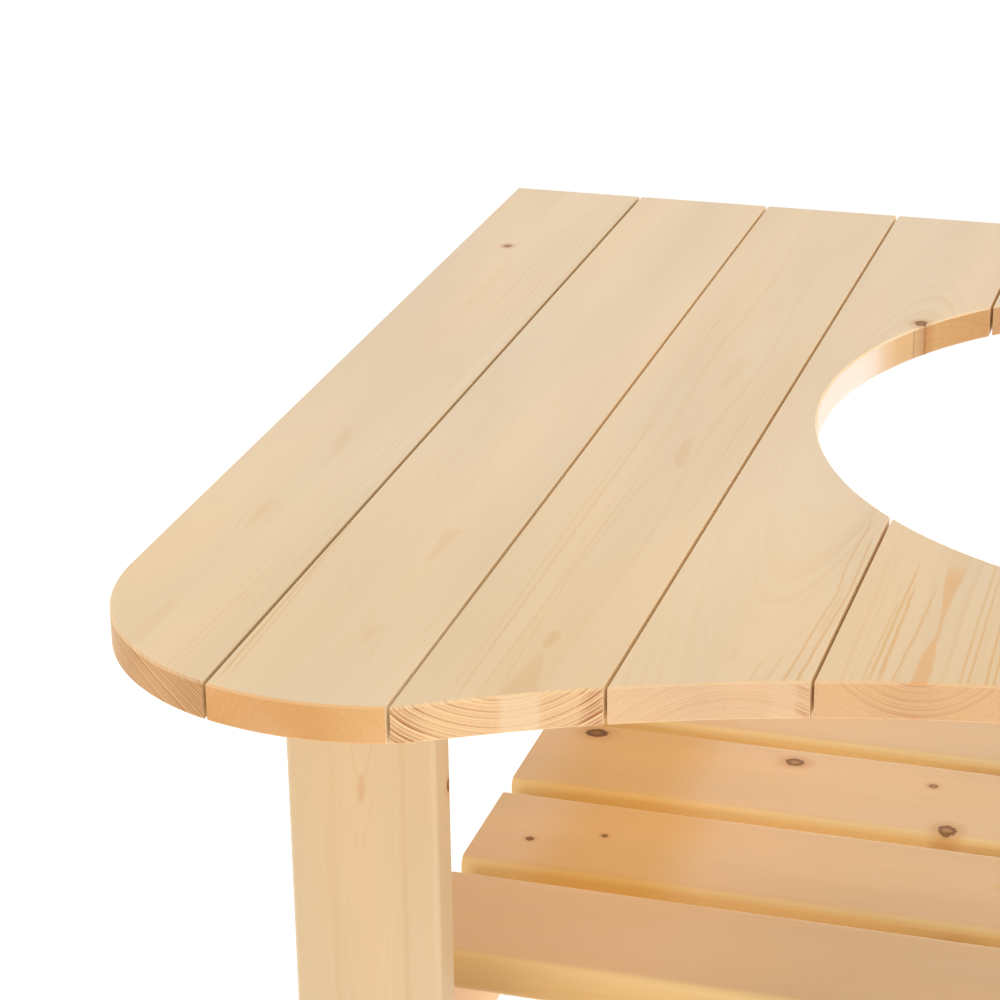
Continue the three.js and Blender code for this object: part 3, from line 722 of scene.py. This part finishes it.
def pad_plastic():
    """Black moulded plastic with a fine grain."""
    material, net, shader = new_material("pad_plastic")
    place = net.add("ShaderNodeTexCoord").outputs["Object"]
    grain = net.noise(net.scaled(place, 1400.0), 2.0, 0.5)["Fac"]
    colour = net.mix(grain, linear(26, 26, 27), linear(46, 46, 48))
    net.put(colour, shader.inputs["Base Color"])
    net.put(net.ramp(grain, 0.3, 0.7, 0.45, 0.62), shader.inputs["Roughness"])
    bump = net.add("ShaderNodeBump", {"Height": grain, "Strength": 0.4, "Distance": 0.2 * MM})
    net.put(bump.outputs[0], shader.inputs["Normal"])
    return material


STEEL = zinc()


def dress_hardware():
    """Zinc on the brackets and coach screws, and plastic on the foot pads."""
    plastic = pad_plastic()
    for node in NODES:
        if node.startswith(("bracket", "coach_screw")):
            dress(node, STEEL)
        elif node.startswith("foot_pad"):
            dress(node, plastic)


def screw_head():
    """The points and faces of one countersunk screw head with a cross recess.

    It faces +Z, and the wood's face is at its origin."""
    radius = 4.0 * MM
    sunk = 0.3 * MM
    proud = 0.25 * MM
    crown = 0.5 * MM
    crown_radius = 0.93 * radius
    recess_reach = 2.2 * MM
    recess_half_width = 0.45 * MM
    recess_floor = -0.25 * MM
    turns = 32
    quarter = turns // 4
    points, faces = [], []

    def add_loop(places, z):
        """Adds points that go round anticlockwise at the height z, and gives their numbers."""
        first = len(points)
        points.extend(Vector((x, y, z)) for x, y in places)
        return list(range(first, len(points)))

    def add_wall(low, high):
        """Joins two loops by faces that look outwards, or inwards if the first loop is the upper one."""
        for near in range(len(low)):
            faces.append([low[near - 1], low[near], high[near], high[near - 1]])

    angles = [2 * math.pi * step / turns for step in range(turns)]
    circle = [(math.cos(angle), math.sin(angle)) for angle in angles]
    base = add_loop([(radius * x, radius * y) for x, y in circle], -sunk)
    edge = add_loop([(radius * x, radius * y) for x, y in circle], proud)
    top = add_loop([(crown_radius * x, crown_radius * y) for x, y in circle], crown)
    arm = [
        (recess_reach, -recess_half_width),
        (recess_reach, recess_half_width),
        (recess_half_width, recess_half_width),
    ]
    cross = []
    for _ in range(4):
        cross += arm
        arm = [(-y, x) for x, y in arm]
    mouth = add_loop(cross, crown)
    floor = add_loop(cross, recess_floor)

    faces.append(base[::-1])
    add_wall(base, edge)
    add_wall(edge, top)
    add_wall(mouth, floor)
    faces.append(floor)
    for part in range(4):
        arc = [top[(part * quarter + step) % turns] for step in range(quarter + 1)]
        faces.append(arc + [mouth[(part * 3 + step) % len(mouth)] for step in (4, 3, 2, 1)])
    return points, faces


def add_screws(name, heads, head):
    """One piece that holds a set of screw heads; each is its place in mm and the way that it faces.

    Each recess is turned on from the last one, as driven screws stop at any angle."""
    further_turn = 0.61
    head_points, head_faces = head
    points, faces = [], []
    for turn, (place, facing) in enumerate(heads):
        aim = Vector(facing).to_track_quat("Z", "Y").to_matrix().to_4x4()
        move = Matrix.Translation(Vector(place) * MM) @ aim @ Matrix.Rotation(turn * further_turn, 4, "Z")
        first = len(points)
        points += [move @ point for point in head_points]
        faces += [[first + index for index in face] for face in head_faces]
    mesh = bpy.data.meshes.new(name)
    mesh.from_pydata(points, [], faces)
    mesh.materials.append(STEEL)
    piece = bpy.data.objects.new(name, mesh)
    bpy.context.scene.collection.objects.link(piece)
    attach(piece, "root")


def corners_mm(node):
    low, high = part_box(node)
    return low / MM, high / MM


def middle_mm(node):
    low, high = corners_mm(node)
    return (low + high) / 2


DOWN = (0, 0, -1)
BOTH_HANDS = ("left", "right")


def named(start):
    """The nodes whose names begin so, in order."""
    return sorted(node for node in NODES if node.startswith(start))


def under_cleats():
    """A screw for each plank that a cleat crosses, moved aside where a top bearer covers its place."""
    beside_bearer = 6
    from_cleat_end = 10
    moved_aside = 22
    heads = []
    planks = sorted({round(middle_mm(node).x, 1) for node in named("plank")})
    bearers = [corners_mm("top_bearer_" + hand) for hand in BOTH_HANDS]
    for side in ("front", "rear", *BOTH_HANDS):
        low, high = corners_mm("cleat_" + side)
        for x in planks:
            if not low.x + from_cleat_end < x < high.x - from_cleat_end:
                continue
            covered = any(first.x - beside_bearer < x < last.x + beside_bearer for first, last in bearers)
            inward = -1 if x > 0 else 1
            place = x + (inward * moved_aside if covered else 0), (low.y + high.y) / 2, low.z
            heads.append((place, DOWN))
    return heads


def under_top_bearers():
    """A screw through the bearer into each cleat on it."""
    heads = []
    for side in BOTH_HANDS:
        low, high = corners_mm("top_bearer_" + side)
        for cleat in ("front", "rear", side):
            heads.append((((low.x + high.x) / 2, middle_mm("cleat_" + cleat).y, low.z), DOWN))
    return heads


def under_shelf_bearers():
    """A screw through the bearer into each shelf board."""
    heads = []
    for bearer in named("shelf_bearer"):
        low, high = corners_mm(bearer)
        for board in named("shelf_board"):
            heads.append((((low.x + high.x) / 2, middle_mm(board).y, low.z), DOWN))
    return heads


def through_rails():
    """Two screws through the rail into each end of the two inner shelf bearers."""
    lifts = (18, 52)
    heads = []
    for side, outward in (("front", -1), ("rear", 1)):
        low, high = corners_mm("shelf_rail_" + side)
        face = low.y if outward < 0 else high.y
        for bearer in named("shelf_bearer")[1:-1]:
            for lift in lifts:
                heads.append(((middle_mm(bearer).x, face, low.z + lift), (0, outward, 0)))
    return heads


def in_brackets():
    """Screws in both flanges of each bracket: against the leg or rail, and against the bearer."""
    steel_thickness = 2.5
    flange_share = 0.62
    lift_shares = {"bracket_top": (0.25, 0.75), "bracket_shelf": (0.5,)}
    heads = []
    for start in sorted(lift_shares):
        for node in named(start):
            low, high = corners_mm(node)
            right, rear = node.endswith("right"), "_rear_" in node
            corner = Vector((high.x if right else low.x, high.y if rear else low.y, 0))
            inward = Vector((-1 if right else 1, -1 if rear else 1, 0))
            reach = high - low
            for lift_share in lift_shares[start]:
                z = low.z + lift_share * reach.z
                on_leg = corner + Vector((inward.x * reach.x * flange_share, inward.y * steel_thickness, z))
                on_bearer = corner + Vector((inward.x * steel_thickness, inward.y * reach.y * flange_share, z))
                heads.append((on_leg, (0, inward.y, 0)))
                heads.append((on_bearer, (inward.x, 0, 0)))
    return heads


def add_wood_screws():
    """All the wood screws, as one piece for each kind of joint."""
    head = screw_head()
    add_screws("cleat_screws", under_cleats(), head)
    add_screws("top_bearer_screws", under_top_bearers(), head)
    add_screws("shelf_board_screws", under_shelf_bearers(), head)
    add_screws("rail_screws", through_rails(), head)
    add_screws("bracket_screws", in_brackets(), head)


def add_camera():
    """The photograph's viewpoint, before the top and above it, fitted to the joints, edges and cut-out."""
    data = bpy.data.cameras.new("camera")
    data.lens = 108.305
    data.sensor_width = 36.0
    data.clip_end = 120.0
    camera = bpy.data.objects.new("camera", data)
    camera.location = (0.06279, -1.67539, 1.43971)
    camera.rotation_euler = [math.radians(angle) for angle in (67.4336, 0.8780, 17.1286)]
    bpy.context.scene.collection.objects.link(camera)
    bpy.context.scene.camera = camera


def add_area_light(name, location, target, size, power):
    """A soft light of the given width and height that faces the target."""
    data = bpy.data.lights.new(name, "AREA")
    data.shape = "RECTANGLE"
    data.size, data.size_y = size
    data.energy = power
    light = bpy.data.objects.new(name, data)
    light.location = location
    light.rotation_euler = (Vector(target) - Vector(location)).to_track_quat("-Z", "Y").to_euler()
    light.visible_camera = False
    bpy.context.scene.collection.objects.link(light)


def add_studio():
    """A pale floor that reaches past the horizon of low views, a white surround and large soft lights."""
    floor_size = 90.0
    bpy.ops.mesh.primitive_plane_add(size=floor_size)
    floor = bpy.context.object
    floor.name = "floor"
    material, net, shader = new_material("floor_paint")
    place = net.add("ShaderNodeTexCoord").outputs["Object"]
    cloud = net.noise(net.scaled(place, 1.5), 2.0, 0.5)["Fac"]
    net.put(net.mix(cloud, (0.93, 0.93, 0.93, 1), (0.95, 0.95, 0.95, 1)), shader.inputs["Base Color"])
    shader.inputs["Roughness"].default_value = 0.9
    shader.inputs["Specular IOR Level"].default_value = 0.1
    floor.data.materials.append(material)

    world = bpy.data.worlds.new("surround")
    world.use_nodes = True
    background = world.node_tree.nodes["Background"]
    background.inputs["Color"].default_value = WHITE
    background.inputs["Strength"].default_value = 0.755
    bpy.context.scene.world = world

    sun = bpy.data.lights.new("overhead", "SUN")
    sun.energy = 1.1
    sun.angle = math.radians(60)
    overhead = bpy.data.objects.new("overhead", sun)
    overhead.rotation_euler = (math.radians(10), math.radians(18), 0)
    bpy.context.scene.collection.objects.link(overhead)
    add_area_light("front_left", (-1.6, -3.4, 1.1), (0, 0, 0.5), (2.4, 1.6), 22)
    add_area_light("left", (-2.2, 0.0, 0.85), (0, 0.1, 0.5), (1.6, 0.7), 6)
    add_area_light("right", (2.8, -0.5, 0.28), (0, -0.1, 0.7), (1.8, 0.5), 33)
    add_area_light("under_top", (-0.38, 0.0, 0.70), (-0.38, 0.0, 0), (0.14, 0.5), 0.14)
    add_area_light("under_rear", (-0.2, 2.2, 0.60), (-0.2, 0, 0.50), (2.0, 0.5), 13)
    add_area_light("floor_bounce", (0, 0.06, 0.004), (0, 0.06, 1.0), (1.3, 0.9), 2.8)
    bpy.context.scene.view_settings.view_transform = "Standard"


dress_timber()
dress_hardware()
add_wood_screws()
add_camera()
add_studio()
